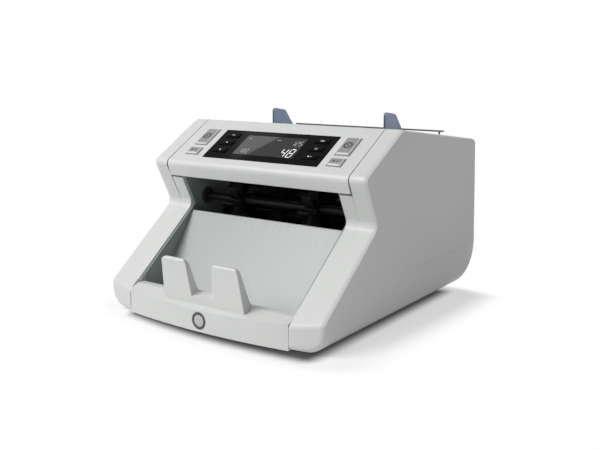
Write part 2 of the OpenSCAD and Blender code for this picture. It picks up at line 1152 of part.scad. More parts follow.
base_pan();
left_side_cover();
right_side_cover();
top_cover();
left_cheek();
right_cheek();
front_panel();
badge();
pocket_ramp();
divider();
back_panel();
left_chassis();
right_chassis();
hopper_front();
control_glass();
display_module();
control_board();
shaft_bushes();
fixed_axles();
retard_sleeves();
feed_motor();
stacker_motor();
feed_belts();
stacker_belt();
sensor_bar();
main_board();
power_supply();
mains_inlet();
feet();
base_screws();
hinge_pins();
rear_cover();
guide_rod();
rear_rail();
left_guide();
right_guide();
pickup_shaft();
pickup_rollers();
feed_shaft();
feed_rollers();
transport_shaft();
transport_rollers();
timing_disc();
idler_rollers();
stacker_shaft();
stacker_wheels();
feed_motor_pulley();
stacker_motor_pulley();
power_rocker();
left_tall_button();
left_short_button();
right_tall_button();
right_short_button();
left_key_1();
left_key_2();
left_key_3();
right_key_1();
right_key_2();
right_key_3();
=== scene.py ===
# %% [markdown]
# # A desktop banknote counter
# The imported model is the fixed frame: it gives every solid its place and every moving body its
# name. This lesson dresses that frame. Pieces whose rounded edges, fields and marks show from a
# step away are worked out again as smooth surfaces, and the rest keep their solid and get a finish.

# %% Load the frame
import json
import math

import bmesh
import bpy
import numpy as np
from mathutils import Matrix

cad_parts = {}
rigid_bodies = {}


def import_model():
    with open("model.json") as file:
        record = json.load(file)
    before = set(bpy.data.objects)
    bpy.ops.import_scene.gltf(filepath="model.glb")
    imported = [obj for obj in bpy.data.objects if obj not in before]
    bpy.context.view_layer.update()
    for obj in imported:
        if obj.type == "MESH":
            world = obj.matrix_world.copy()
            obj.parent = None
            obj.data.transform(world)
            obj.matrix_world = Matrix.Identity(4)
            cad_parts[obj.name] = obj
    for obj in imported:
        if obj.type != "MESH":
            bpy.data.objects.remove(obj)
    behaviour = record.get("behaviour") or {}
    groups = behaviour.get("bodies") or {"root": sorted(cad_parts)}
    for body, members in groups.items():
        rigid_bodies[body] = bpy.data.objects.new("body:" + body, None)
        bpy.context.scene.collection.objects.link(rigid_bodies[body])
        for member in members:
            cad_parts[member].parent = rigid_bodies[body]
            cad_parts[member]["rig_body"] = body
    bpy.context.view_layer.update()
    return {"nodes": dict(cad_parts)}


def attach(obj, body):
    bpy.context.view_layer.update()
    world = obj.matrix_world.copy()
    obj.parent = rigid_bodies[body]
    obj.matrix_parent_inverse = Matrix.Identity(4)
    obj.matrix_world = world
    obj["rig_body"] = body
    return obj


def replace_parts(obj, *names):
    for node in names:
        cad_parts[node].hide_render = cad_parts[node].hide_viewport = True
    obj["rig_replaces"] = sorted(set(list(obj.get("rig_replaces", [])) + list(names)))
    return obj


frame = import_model()
MM = 0.001
MID_Y = 155.25

# %% [markdown]
# ## Camera
# The camera was fitted to straight edges of the case: it stands 35.5 degrees to the right of the
# front and looks down by 11.4 degrees. Its columns are right, up and backwards, so a matrix built
# from the two angles says exactly where it looks, with no constraint to follow.

# %% Camera
def camera_axes(azimuth, elevation):
    """Unit vectors right (cos a, sin a, 0), up, and back (sin a cos e, -cos a cos e, sin e)."""
    a, e = math.radians(azimuth), math.radians(elevation)
    right = np.array([math.cos(a), math.sin(a), 0.0])
    back = np.array([math.sin(a) * math.cos(e), -math.cos(a) * math.cos(e), math.sin(e)])
    return right, np.cross(back, right), back


def placed(axes, place):
    """World matrix whose columns are three unit vectors and a place in metres."""
    return Matrix([[*row, p] for row, p in zip(np.column_stack(axes), place)] + [[0, 0, 0, 1]])


AZIMUTH, ELEVATION = 35.505, 11.417
CAMERA_AT = (0.47308, -0.66188, 0.2386)
FOCAL_PX, PICTURE_PX = 803.968, 600
lens = bpy.data.cameras.new("camera")
lens.sensor_width = 36
lens.lens = FOCAL_PX / PICTURE_PX * lens.sensor_width
lens.clip_start = 0.01
camera = bpy.data.objects.new("camera", lens)
bpy.context.scene.collection.objects.link(camera)
camera.matrix_world = placed(camera_axes(AZIMUTH, ELEVATION), CAMERA_AT)
bpy.context.scene.camera = camera
bpy.context.scene.view_settings.view_transform = "Standard"
print("camera lens", round(lens.lens, 2), "mm")

# %% [markdown]
# ## Light
# A large soft lamp stands high to the front left, so the front and the top are bright and the right
# side falls into an even mid grey. A plain sky fills the shadows. Rays that come straight from the
# camera, or by way of gloss or glass, see a white room instead.

# %% Light
def math_step(tree, kind, *values):
    """Output of a math node of some kind, fed in turn by sockets and constants."""
    node = tree.nodes.new("ShaderNodeMath")
    node.operation = kind
    for socket, value in zip(node.inputs, values):
        if isinstance(value, bpy.types.NodeSocket):
            tree.links.new(value, socket)
        else:
            socket.default_value = value
    return node.outputs[0]


def seen_rays(tree):
    """Socket that is 1 for rays from the camera, from gloss or through glass, and 0 for light."""
    path = tree.nodes.new("ShaderNodeLightPath").outputs
    most = math_step(tree, "MAXIMUM", path["Is Camera Ray"], path["Is Glossy Ray"])
    return math_step(tree, "MAXIMUM", most, path["Is Transmission Ray"])


def soft_lamp(name, place, aim, size, power):
    """Square lamp of a size in metres at place, its back to the line from aim to place."""
    data = bpy.data.lights.new(name, "AREA")
    data.size = size
    data.energy = power
    lamp = bpy.data.objects.new(name, data)
    bpy.context.scene.collection.objects.link(lamp)
    z = np.subtract(place, aim) / np.linalg.norm(np.subtract(place, aim))
    x = np.cross((0, 0, 1), z)
    x /= np.linalg.norm(x)
    lamp.matrix_world = placed((x, np.cross(z, x), z), place)
    return lamp


world = bpy.data.worlds.new("room")
bpy.context.scene.world = world
world.use_nodes = True
tree = world.node_tree
sky = tree.nodes["Background"]
sky.inputs["Color"].default_value = (0.97, 0.985, 1, 1)
sky.inputs["Strength"].default_value = 0.228
white = tree.nodes.new("ShaderNodeBackground")
white.inputs["Color"].default_value = (1, 1, 1, 1)
white.inputs["Strength"].default_value = 1.0
either = tree.nodes.new("ShaderNodeMixShader")
tree.links.new(seen_rays(tree), either.inputs[0])
tree.links.new(sky.outputs[0], either.inputs[1])
tree.links.new(white.outputs[0], either.inputs[2])
tree.links.new(either.outputs[0], tree.nodes["World Output"].inputs["Surface"])
soft_lamp("key_lamp", (-1.0, -1.45, 1.75), (0, 0, 0.08), 1.4, 43.5)
soft_lamp("top_lamp", (0.3, 0.2, 2.0), (0, 0, 0.1), 1.6, 3.5)

# %% [markdown]
# ## Card in the display
# The display's window mirrors something bright with one straight edge, which crosses it as a
# diagonal. Any small bright card does that. This one stands where the camera's view, mirrored in
# the panel, meets it, and only gloss can see it, so it lights nothing.

# %% Card
CARD = [
    (-0.851, 0.454, 1.291), (-0.989, 0.314, 1.228),
    (-1.001, 0.313, 1.218), (-0.965, 0.415, 1.209)]
CARD_STRENGTH = 2.5
card_mesh = bpy.data.meshes.new("card")
card_mesh.from_pydata(CARD, [], [(0, 1, 2, 3)])
card = bpy.data.objects.new("card", card_mesh)
bpy.context.scene.collection.objects.link(card)
card.visible_camera = card.visible_diffuse = False
card.visible_transmission = card.visible_shadow = False
bright = bpy.data.materials.new("bright_card")
bright.use_nodes = True
tree = bright.node_tree
lit = tree.nodes.new("ShaderNodeEmission")
lit.inputs["Strength"].default_value = CARD_STRENGTH
tree.links.new(lit.outputs[0], tree.nodes["Material Output"].inputs["Surface"])
card_mesh.materials.append(bright)
print("card", len(CARD), "corners")

# %% [markdown]
# ## Floor
# The floor is white where it is seen, but close to the case it turns matt, so the case's own shadow
# shows there and fades out. Right under the case's edge a painted shadow darkens the floor to a
# soft line. Both follow the distance from the case's foot, a rectangle that is bent like the
# front's bow.

# %% Floor
FOOT_MIDDLE, FOOT_HALF = (0.012, -0.0323, 0), (0.1, 0.1195, 0)
FOOT_BEND, FOOT_SLANT, FRONT_PULL = 0.78, 0.045, 2.2
# Width in metres and darkest tone of the painted shadow line under the case's edge.
SHADOW_LINE_END, SHADOW_LINE_TONE = 0.02, 0.09
MATT_END, WHITE_START, LEAST_WHITE = 0.035, 0.073, 0.5
FLOOR_HALF = 6


def vector_step(tree, kind, first, second=None):
    """Output of a vector node of some kind, fed by a socket and, where there is one, a constant."""
    node = tree.nodes.new("ShaderNodeVectorMath")
    node.operation = kind
    tree.links.new(first, node.inputs[0])
    if second is not None:
        node.inputs[1].default_value = second
    return node.outputs["Value" if kind == "LENGTH" else 0]


def foot_distance(tree):
    """Sockets of two distances from the case's foot: d = |max(|p - middle| - half, 0)|, with the
    bow taken out of p by y - bend x x + slant x, so that the foot narrows to the left, and the same
    with Y counted more, by the factor FRONT_PULL."""
    place = tree.nodes.new("ShaderNodeTexCoord")
    parts = tree.nodes.new("ShaderNodeSeparateXYZ")
    tree.links.new(place.outputs["Object"], parts.inputs[0])
    x, y = parts.outputs["X"], parts.outputs["Y"]
    level = math_step(tree, "MULTIPLY_ADD", math_step(tree, "MULTIPLY", x, x), -FOOT_BEND, y)
    flat = tree.nodes.new("ShaderNodeCombineXYZ")
    tree.links.new(x, flat.inputs["X"])
    tree.links.new(math_step(tree, "MULTIPLY_ADD", x, FOOT_SLANT, level), flat.inputs["Y"])
    across = vector_step(tree, "SUBTRACT", flat.outputs[0], FOOT_MIDDLE)
    across = vector_step(tree, "ABSOLUTE", across)
    outside = vector_step(tree, "SUBTRACT", across, FOOT_HALF)
    outside = vector_step(tree, "MAXIMUM", outside, (0, 0, 0))
    pulled = vector_step(tree, "MULTIPLY", outside, (1, FRONT_PULL, 1))
    return vector_step(tree, "LENGTH", outside), vector_step(tree, "LENGTH", pulled)


def fade_in(tree, value, start, end, least):
    """Smooth step from least at start to 1 at end."""
    node = tree.nodes.new("ShaderNodeMapRange")
    node.interpolation_type = "SMOOTHSTEP"
    node.inputs["From Min"].default_value = start
    node.inputs["From Max"].default_value = end
    node.inputs["To Min"].default_value = least
    tree.links.new(value, node.inputs["Value"])
    return node.outputs[0]


def seen_only(tree, value):
    """The value for rays that are seen and 1 for light, as max(value, 1 - seen)."""
    return math_step(tree, "MAXIMUM", value, math_step(tree, "SUBTRACT", 1.0, seen_rays(tree)))


floor_mesh = bpy.data.meshes.new("floor")
floor_mesh.from_pydata(
    [(FLOOR_HALF * i, FLOOR_HALF * j, 0) for i, j in ((-1, -1), (1, -1), (1, 1), (-1, 1))],
    [], [(0, 1, 2, 3)])
floor = bpy.data.objects.new("floor", floor_mesh)
bpy.context.scene.collection.objects.link(floor)
pale = bpy.data.materials.new("pale_floor")
pale.use_nodes = True
tree = pale.node_tree
matt = tree.nodes["Principled BSDF"]
matt.inputs["Roughness"].default_value = 0.9
matt.inputs["Specular IOR Level"].default_value = 0.1
glow = tree.nodes.new("ShaderNodeEmission")
shadow_line_by, white_by = foot_distance(tree)
# Painted shadow: a soft dark line on the floor round the case's foot, set by distance, fed into
# both the glow and the matt colour.
painted_shadow = fade_in(tree, shadow_line_by, 0.0, SHADOW_LINE_END, SHADOW_LINE_TONE)
whiten = fade_in(tree, white_by, MATT_END, WHITE_START, LEAST_WHITE)
tree.links.new(painted_shadow, glow.inputs["Color"])
tree.links.new(seen_only(tree, painted_shadow), matt.inputs["Base Color"])
mixed = tree.nodes.new("ShaderNodeMixShader")
tree.links.new(math_step(tree, "MULTIPLY", whiten, seen_rays(tree)), mixed.inputs[0])
tree.links.new(matt.outputs[0], mixed.inputs[1])
tree.links.new(glow.outputs[0], mixed.inputs[2])
tree.links.new(mixed.outputs[0], tree.nodes["Material Output"].inputs["Surface"])
floor_mesh.materials.append(pale)
print("floor", 2 * FLOOR_HALF, "m wide")

# %% [markdown]
# ## Finishes
# Moulded plastic is never one flat colour: the tone drifts a little from place to place, the gloss
# drifts with it, and a fine spark-eroded grain breaks up the reflections. One recipe of two noises
# gives all of these, and stretching the noise turns the same recipe into brushed or rolled metal.

# %% Finishes
def finish(
        name, colour, rough, patch=40, tone=0.04, spread=0.06, grain=0.5, bump=0.1,
        stretch=(1, 1, 1), turn=0, **sockets):
    """Tone = colour (1 + tone n(p / patch)) and roughness = rough + spread n, with n a smooth noise
    from -1 to 1. The bump's height is a noise of wavelength grain mm. stretch divides the noise's
    frequency along X, Y and Z after a turn about X in degrees. Any other word is a socket of the
    shader, with _ for a space."""
    made = bpy.data.materials.new(name)
    made.use_nodes = True
    tree = made.node_tree
    shader = tree.nodes["Principled BSDF"]
    place = tree.nodes.new("ShaderNodeTexCoord")
    frame_of = tree.nodes.new("ShaderNodeMapping")
    frame_of.vector_type = "TEXTURE"
    frame_of.inputs["Rotation"].default_value = (math.radians(turn), 0, 0)
    frame_of.inputs["Scale"].default_value = stretch
    tree.links.new(place.outputs["Object"], frame_of.inputs["Vector"])
    broad = tree.nodes.new("ShaderNodeTexNoise")
    broad.inputs["Scale"].default_value = 1000 / patch
    broad.inputs["Detail"].default_value = 4
    tree.links.new(frame_of.outputs[0], broad.inputs["Vector"])
    mixed = tree.nodes.new("ShaderNodeMix")
    mixed.data_type = "RGBA"
    mixed.inputs[6].default_value = [min(1, c * (1 - 2 * tone)) for c in colour] + [1]
    mixed.inputs[7].default_value = [min(1, c * (1 + 2 * tone)) for c in colour] + [1]
    tree.links.new(broad.outputs[0], mixed.inputs[0])
    tree.links.new(mixed.outputs[2], shader.inputs["Base Color"])
    gloss = tree.nodes.new("ShaderNodeMapRange")
    gloss.inputs["From Min"].default_value = 0.3
    gloss.inputs["From Max"].default_value = 0.7
    gloss.inputs["To Min"].default_value = max(0.02, rough - spread)
    gloss.inputs["To Max"].default_value = rough + spread
    tree.links.new(broad.outputs[0], gloss.inputs["Value"])
    tree.links.new(gloss.outputs[0], shader.inputs["Roughness"])
    fine = tree.nodes.new("ShaderNodeTexNoise")
    fine.inputs["Scale"].default_value = 1000 / grain
    fine.inputs["Detail"].default_value = 2
    tree.links.new(frame_of.outputs[0], fine.inputs["Vector"])
    relief = tree.nodes.new("ShaderNodeBump")
    relief.inputs["Strength"].default_value = bump
    relief.inputs["Distance"].default_value = 0.0001
    tree.links.new(fine.outputs[0], relief.inputs["Height"])
    tree.links.new(relief.outputs[0], shader.inputs["Normal"])
    for word, value in sockets.items():
        shader.inputs[word.replace("_", " ")].default_value = value
    return made


RAMP_SLOPE = 56.0
case_grey = finish(
    "case_grey", (0.665, 0.675, 0.66), 0.42, patch=60, tone=0.018, grain=0.45, bump=0.07)
hopper_grey = finish(
    "hopper_grey", (0.58, 0.59, 0.58), 0.45, patch=50, tone=0.02, grain=0.4, bump=0.08)
ramp_grey = finish(
    "ramp_grey", (0.4, 0.415, 0.41), 0.3, patch=4, tone=0.03, spread=0.04, grain=0.8, bump=0.02,
    stretch=(0.5, 30, 1), turn=RAMP_SLOPE)
wall_dark = finish("wall_dark", (0.27, 0.31, 0.305), 0.4, patch=25, tone=0.08, grain=0.35, bump=0.1)
pocket_dark = finish(
    "pocket_dark", (0.06, 0.076, 0.079), 0.38, patch=25, tone=0.1, grain=0.35, bump=0.12)
# Near black for the parts inside the machine; on each side cover's inner end it is also painted
# shade in the seam's gap.
black_and_gap_shade = finish(
    "black_and_gap_shade", (0.008, 0.009, 0.009), 0.5, patch=20, tone=0.12, grain=0.4, bump=0.12,
    Specular_IOR_Level=0.08)
glass_black = finish(
    "glass_black", (0.004, 0.004, 0.0045), 0.05, patch=30, tone=0.15, spread=0.02, grain=3,
    bump=0.004, Specular_IOR_Level=0.02)
key_black = finish(
    "key_black", (0.0015, 0.0015, 0.0018), 0.25, patch=8, tone=0.12, spread=0.05, grain=0.6,
    bump=0.03, Specular_IOR_Level=0.02)
rim_grey = finish(
    "rim_grey", (0.66, 0.665, 0.655), 0.36, patch=12, tone=0.03, grain=0.35, bump=0.06)
# Dark grey used as painted shade in gaps: the wells round the buttons and the seam at the panel's
# left end.
gap_shade_grey = finish("gap_shade_grey", (0.12, 0.12, 0.12), 0.6, patch=6, tone=0.08, grain=0.3, bump=0.05)
button_grey = finish(
    "button_grey", (0.26, 0.265, 0.26), 0.4, patch=12, tone=0.03, grain=0.35, bump=0.1)
guide_blue = finish(
    "guide_blue", (0.27, 0.35, 0.5), 0.16, patch=20, tone=0.05, spread=0.05, grain=1.5, bump=0.02,
    Transmission_Weight=0.55, IOR=1.49)
rubber_black = finish(
    "rubber_black", (0.016, 0.016, 0.016), 0.75, patch=10, tone=0.15, grain=0.3, bump=0.25,
    Specular_IOR_Level=0.15)
black_steel = finish(
    "black_steel", (0.014, 0.014, 0.015), 0.4, patch=3, tone=0.1, grain=0.2, bump=0.06,
    stretch=(0.2, 3, 3), Specular_IOR_Level=0.15)
ground_steel = finish(
    "ground_steel", (0.56, 0.56, 0.57), 0.25, patch=3, tone=0.06, grain=0.2, bump=0.06,
    stretch=(0.2, 3, 3), Metallic=1.0)
rail_dark = finish("rail_dark", (0.05, 0.05, 0.055), 0.35, patch=6, tone=0.1, grain=0.3, bump=0.08)
motor_grey = finish(
    "motor_grey", (0.24, 0.24, 0.25), 0.4, patch=18, tone=0.08, grain=0.6, bump=0.1, Metallic=0.6)
supply_sheet = finish(
    "supply_sheet", (0.55, 0.56, 0.57), 0.35, patch=12, tone=0.06, grain=0.4, bump=0.08,
    stretch=(4, 1, 1), Metallic=0.9)
board_green = finish(
    "board_green", (0.02, 0.13, 0.055), 0.4, patch=6, tone=0.12, grain=0.8, bump=0.1)
sinter_brass = finish(
    "sinter_brass", (0.1, 0.08, 0.05), 0.5, patch=3, tone=0.08, grain=0.15, bump=0.2, Metallic=0.6)
rocker_black = finish(
    "rocker_black", (0.005, 0.005, 0.0055), 0.25, patch=6, tone=0.1, grain=0.3, bump=0.04)
inlet_black = finish(
    "inlet_black", (0.014, 0.014, 0.015), 0.4, patch=10, tone=0.1, grain=0.35, bump=0.15)
badge_dark = finish(
    "badge_dark", (0.07, 0.07, 0.075), 0.35, patch=5, tone=0.08, grain=0.3, bump=0.06)
badge_pale = finish("badge_pale", (0.5, 0.51, 0.51), 0.3, patch=4, tone=0.05, grain=0.4, bump=0.12)
mark_dark = finish("mark_dark", (0.02, 0.02, 0.022), 0.5, patch=3, tone=0.08, grain=0.3, bump=0.03)
mark_pale = finish("mark_pale", (0.85, 0.86, 0.86), 0.5, patch=3, tone=0.05, grain=0.3, bump=0.03)
window_grey = finish(
    "window_grey", (0.01, 0.0105, 0.0115), 0.02, patch=30, tone=0.08, spread=0.0, grain=2,
    bump=0.001, Specular_IOR_Level=0.17)
digit_lit = finish(
    "digit_lit", (0.5, 0.5, 0.5), 0.5, patch=3, tone=0.06, grain=0.5, bump=0.01,
    Emission_Color=(0.92, 0.95, 1, 1), Emission_Strength=0.75)
digit_dim = finish(
    "digit_dim", (0.3, 0.3, 0.3), 0.5, patch=3, tone=0.06, grain=0.5, bump=0.01,
    Emission_Color=(0.9, 0.93, 1, 1), Emission_Strength=0.32)
print("finishes", len(bpy.data.materials))

# %% [markdown]
# ## Surfaces from rings
# Most moulded pieces are an outline with rounded corners that is carried a short way and drawn in
# at its edges. A ring is the outline drawn in by some distance, and a stack of rings is a surface
# on a grid: one parameter runs round the outline, the other along the stack.

# %% Rings
def ring_stack(corners, insets, steps=10):
    """Outlines of a polygon with rounded corners, drawn in by each inset: an array [inset, point,
    2]. A corner is (a, b, radius), anticlockwise. The arc's centre lies on the corner's bisector at
    radius / sin(half the angle), and a point is centre + (s radius - inset) n(t), where n turns
    from one edge's normal to the next and s is 1 at an outer corner and -1 at an inner one. An
    outer radius is at least the inset, so that no ring folds over."""
    c = np.asarray(corners, float)
    p, r = c[:, :2], c[:, 2]
    e1 = p - np.roll(p, 1, 0)
    e2 = np.roll(p, -1, 0) - p
    e1 /= np.linalg.norm(e1, axis=1)[:, None]
    e2 /= np.linalg.norm(e2, axis=1)[:, None]
    turn = np.arctan2(e1[:, 0] * e2[:, 1] - e1[:, 1] * e2[:, 0], (e1 * e2).sum(1))
    side = np.sign(turn)
    half = (math.pi - np.abs(turn)) / 2
    way = e2 - e1
    way /= np.linalg.norm(way, axis=1)[:, None]
    start = np.arctan2(-e1[:, 0], e1[:, 1])
    angle = start[:, None] + turn[:, None] * np.linspace(0, 1, steps)
    normal = np.stack([np.cos(angle), np.sin(angle)], -1)
    d = np.asarray(insets, float)[:, None]
    r = np.where(side > 0, np.maximum(r, d + 0.1), r)
    centre = p + way * (r / np.sin(half))[..., None]
    rings = centre[:, :, None] + normal * (side * r - d)[..., None, None]
    return rings.reshape(len(d), -1, 2)


def put_mesh(name, points, faces, material, body, stands_for=(), sharp=40):
    """Mesh object from points in mm and faces, turned so that its volume is positive, shaded smooth
    but for sharp edges."""
    mesh = bpy.data.meshes.new(name)
    mesh.from_pydata((np.asarray(points) * MM).tolist(), [], [list(f) for f in faces])
    shape = bmesh.new()
    shape.from_mesh(mesh)
    if shape.calc_volume(signed=True) < 0:
        bmesh.ops.reverse_faces(shape, faces=shape.faces)
    shape.to_mesh(mesh)
    shape.free()
    mesh.polygons.foreach_set("use_smooth", np.ones(len(mesh.polygons), bool))
    mesh.set_sharp_from_angle(angle=math.radians(sharp))
    mesh.materials.append(material)
    piece = bpy.data.objects.new(name, mesh)
    bpy.context.scene.collection.objects.link(piece)
    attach(piece, body)
    if stands_for:
        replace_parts(piece, *stands_for)
    return piece


def ring_faces(k, m):
    """Quads between k rings of m points, closed round each ring, as an array [(k - 1) m, 4]."""
    i, j = np.meshgrid(np.arange(k - 1), np.arange(m), indexing="ij")
    n = (j + 1) % m
    quads = np.stack([i * m + j, i * m + n, (i + 1) * m + n, (i + 1) * m + j], -1)
    return quads.reshape(-1, 4)


def closed_stack(rings, start, end):
    """Points and faces of a ring stack [k, m, 3] whose two ends are closed by fans to the points
    start and end."""
    k, m, _ = rings.shape
    points = np.vstack([rings.reshape(-1, 3), [start, end]])
    j = np.arange(m)
    n = (j + 1) % m
    low = np.stack([np.full(m, k * m), n, j], -1)
    high = np.stack([np.full(m, k * m + 1), (k - 1) * m + j, (k - 1) * m + n], -1)
    return points, ring_faces(k, m).tolist() + low.tolist() + high.tolist()


test = ring_stack([(0, 0, 2), (10, 0, 2), (10, 6, 2), (0, 6, 2)], [0, 1])
print("ring test", test.shape, test.min((0, 1)), test.max((0, 1)))

# %% [markdown]
# ## Side covers
# Each side is one large moulding with a soft edge of 4.4 mm all round. The outline is the side view
# of the whole case. An arc of drawn-in rings makes the edge, which meets the flat in a crisp line,
# and the flat then closes on a point inside, from which every part of the outline can be seen.

# %% Side covers
ARM = 0.8
BOW_R = 640.0
SKIRT_Z, SKIRT_R, HALF_W = 2.0, 17.0, 126.5
WAIST = (97.4, 95.8)
FRONT_TOP = (0, WAIST[1] - ARM * WAIST[0], 7)
SIDE_VIEW = [
    (0, SKIRT_Z, 6), (312, SKIRT_Z + 1, 28), (302.5, 159, 8), (139.84, 179.28, 9),
    (75, 140.8, 6), (*WAIST, 9), FRONT_TOP]
HEART = np.array([165.0, 85.0])
SEAM_X, LIP = 108.32, 0.03
EDGE_W, EDGE_TURN = 4.4, 32
SEAM_BACK = 141
SEAM_Z = (94, 104, 124, 127, 134, 139, 146)
SEAM_GAP = {-1: (0, 0.45, 0.45, 1.6, 1.6, 0.9, 0), 1: (0, 0.05, 0.05, 0.5, 0.5, 0.4, 0.1)}


def front_y(x):
    """Front of the case at x from the middle, the bow's circle: 0.3 + R - sqrt(R R - x x)."""
    return 0.3 + BOW_R - np.sqrt(BOW_R**2 - np.square(x))


def skirt_rise(x):
    """Height of the rounded foot above the skirt's lowest line: r - sqrt(r r - u u), u = max(0, x -
    half width + r)."""
    return SKIRT_R - np.sqrt(SKIRT_R**2 - np.square(np.maximum(0, x - HALF_W + SKIRT_R)))


def case_rings(x, inset, view, steps):
    """One ring for each pair of x and inset: the side view with its first and last corner moved to
    the bow's front, and its first two corners lifted by the skirt's rise less the inset."""
    rings = []
    for f, rise, d in zip(front_y(x), skirt_rise(x), inset):
        corners = np.array(view, float)
        corners[[0, -1], 0] += f
        corners[[0, 1], 1] += rise - d
        corners[-1, 1] += ARM * f
        rings.append(ring_stack(corners, [d], steps))
    return np.concatenate(rings)


def side_cover(name, s):
    """Rings (x, inset): a small lip at the seam, straight out, then x = x1 - w + r sin a with inset
    r (1 - cos a), where the arc turns by EDGE_TURN degrees over its width w and meets the flat side
    in a crisp edge. The first two rings stand back from the seam by a gap that depends on z: the
    nose's is the widest, and the arms have none."""
    seam, out, w = SEAM_X, HALF_W, EDGE_W
    a = np.radians(np.linspace(0, EDGE_TURN, 10))
    r = w / np.sin(a[-1])
    straight = np.linspace(seam + 3, seam + 12, 6)
    x = np.concatenate([[seam, seam + 0.1, seam + 1.6], straight, out - w + r * np.sin(a)])
    inset = np.concatenate([[LIP, 0, 0], np.zeros(6), r * (1 - np.cos(a))])
    flat = case_rings(x, inset, SIDE_VIEW, 14)
    close = np.linspace(0, 1, 8)[1:-1, None, None]
    flat = np.concatenate([flat, flat[-1:] * (1 - close) + HEART * close])
    x = np.repeat(np.concatenate([x, np.full(6, out)])[:, None], flat.shape[1], 1)
    gap = np.interp(flat[0, :, 1], SEAM_Z, SEAM_GAP[s])
    x[:2] += np.where(flat[0, :, 0] < SEAM_BACK, gap, 0)
    rings = np.concatenate([s * x[..., None], flat - (MID_Y, 0)], -1)
    heart = HEART - (MID_Y, 0)
    points, faces = closed_stack(rings, (s * seam, *heart), (s * out, *heart))
    piece = put_mesh(name + "_skin", points, faces, case_grey, "case", [name], 25)
    # Painted shade: the cover's inner end at the seam takes the near-black finish, so the gap
    # beside it reads dark.
    piece.data.materials.append(black_and_gap_shade)
    k, m = flat.shape[:2]
    number = np.arange(len(piece.data.polygons))
    painted_gap_shade = (number >= (k - 1) * m) & (number < k * m)
    piece.data.polygons.foreach_set("material_index", painted_gap_shade.astype(np.int32))
    return piece


for name, s in (("left_side_cover", -1), ("right_side_cover", 1)):
    print(name, len(side_cover(name, s).data.polygons), "faces")

# %% [markdown]
# ## Strips beside the pocket
# Between each side cover and the pocket runs a light strip, bent at the waist. Its front has to run
# on from the front panel's bow into the side cover without a step, so it is made from the same
# rings. Its bent outline can't be closed from one point, so each end is a single many-sided face.

# %% Strips
STRIP_VIEW = [
    (0, SKIRT_Z, 6), (50, SKIRT_Z, 0.3), (101.5, 88, 0.3), (104.4, 97, 4),
    (93, 124.6, 0.3), (83.06, 124.6, 0.3), (*WAIST, 9), FRONT_TOP]
STRIP_IN, STRIP_EDGE = 95.0, 0.5


def ended_stack(rings):
    """Points and faces of a ring stack [k, m, 3] with a flat face on its first and last ring."""
    k, m, _ = rings.shape
    ends = [list(range(m))[::-1], list(range((k - 1) * m, k * m))]
    return rings.reshape(-1, 3), ring_faces(k, m).tolist() + ends


def strip(name, s):
    """Rings (x, inset) from the pocket's wall to the seam: quarter round, straight, fine lip."""
    a = np.radians(np.linspace(90, 0, 5))
    inner = STRIP_IN - STRIP_EDGE * np.sin(a)
    x = np.concatenate([inner, np.linspace(97, 106, 6), [108.0, 108.18, 108.28]])
    inset = np.concatenate([STRIP_EDGE - STRIP_EDGE * np.cos(a), np.zeros(8), [LIP]])
    flat = case_rings(x, inset, STRIP_VIEW, 14)
    across = np.broadcast_to(s * x[:, None, None], flat.shape[:2] + (1,))
    points, faces = ended_stack(np.concatenate([across, flat - (MID_Y, 0)], -1))
    return put_mesh(name + "_skin", points, faces, case_grey, "case", [name], 35)


for name, s in (("left_cheek", -1), ("right_cheek", 1)):
    print(name, len(strip(name, s).data.polygons), "faces")

# %% [markdown]
# ## Parting line on the sides
# The lower rear of each side shows a faint line where the base's skirt begins. It runs forward from
# the back edge, level, and thins out about halfway along the side. A grey ribbon under half a
# millimetre wide that lies on the flat of the cover paints the shade of this shallow groove.

# %% Parting line
LINE_Z, LINE_FRONT = 44.5, 152.0


def skirt_path():
    """Points (x, y, z) along the line, forward on the flat side from the cover's back edge."""
    edge = 312 - 9.5 * (LINE_Z - 5) / 154
    y = np.linspace(edge - 2.4, LINE_FRONT, 60)
    return np.stack([np.full(60, HALF_W), y, np.full(60, LINE_Z)], -1)


def ribbon(path, wide, high, out):
    """Thin strip with an oval section along a path: p + across (wide / 2) c + out (high) s, with c
    and s the cosine and sine of a full turn and across = along x out. out is the surface's normal,
    and where none is given it is along x the X axis, for a path that keeps to one x."""
    along = np.gradient(path, axis=0)
    along /= np.linalg.norm(along, axis=1)[:, None]
    out = np.cross(along, (1.0, 0, 0)) if out is None else np.broadcast_to(out, path.shape)
    across = np.cross(along, out)
    a = np.radians(np.linspace(0, 360, 13)[:-1])
    beside = across[:, None] * (wide[:, None] / 2 * np.cos(a))[..., None]
    above = out[:, None] * (high * np.sin(a))[:, None]
    return path[:, None] + beside + above


# Painted shade: the mid grey ribbon stands for the shade in the skirt's fine groove.
groove_shade_grey = finish("groove_shade_grey", (0.4, 0.4, 0.4), 0.6, patch=8, tone=0.06, grain=0.4, bump=0.05)
for name, s in (("left_skirt_line", -1), ("right_skirt_line", 1)):
    wide = np.interp(skirt_path()[:, 1], (LINE_FRONT, 200), (0.08, 0.36))
    rings = ribbon(skirt_path(), wide, 0.04, (1.0, 0, 0)) * (s, 1, 1) - (0, MID_Y, 0)
    points, faces = closed_stack(rings, rings[0].mean(0), rings[-1].mean(0))
    put_mesh(name, points, faces, groove_shade_grey, "case")
print("skirt line", len(skirt_path()), "points")

# %% [markdown]
# ## Seam at the left of the front panel
# The panel ends in a narrow gap beside the left strip, dark with shade. It runs up the front, over
# the round edge and a little way up the arm. A dark ribbon along the strip's own outline paints
# that shade.

# %% Panel seam
PANEL_SEAM_X, PANEL_SEAM_W, PANEL_SEAM_H = 94.7, 0.5, 0.12


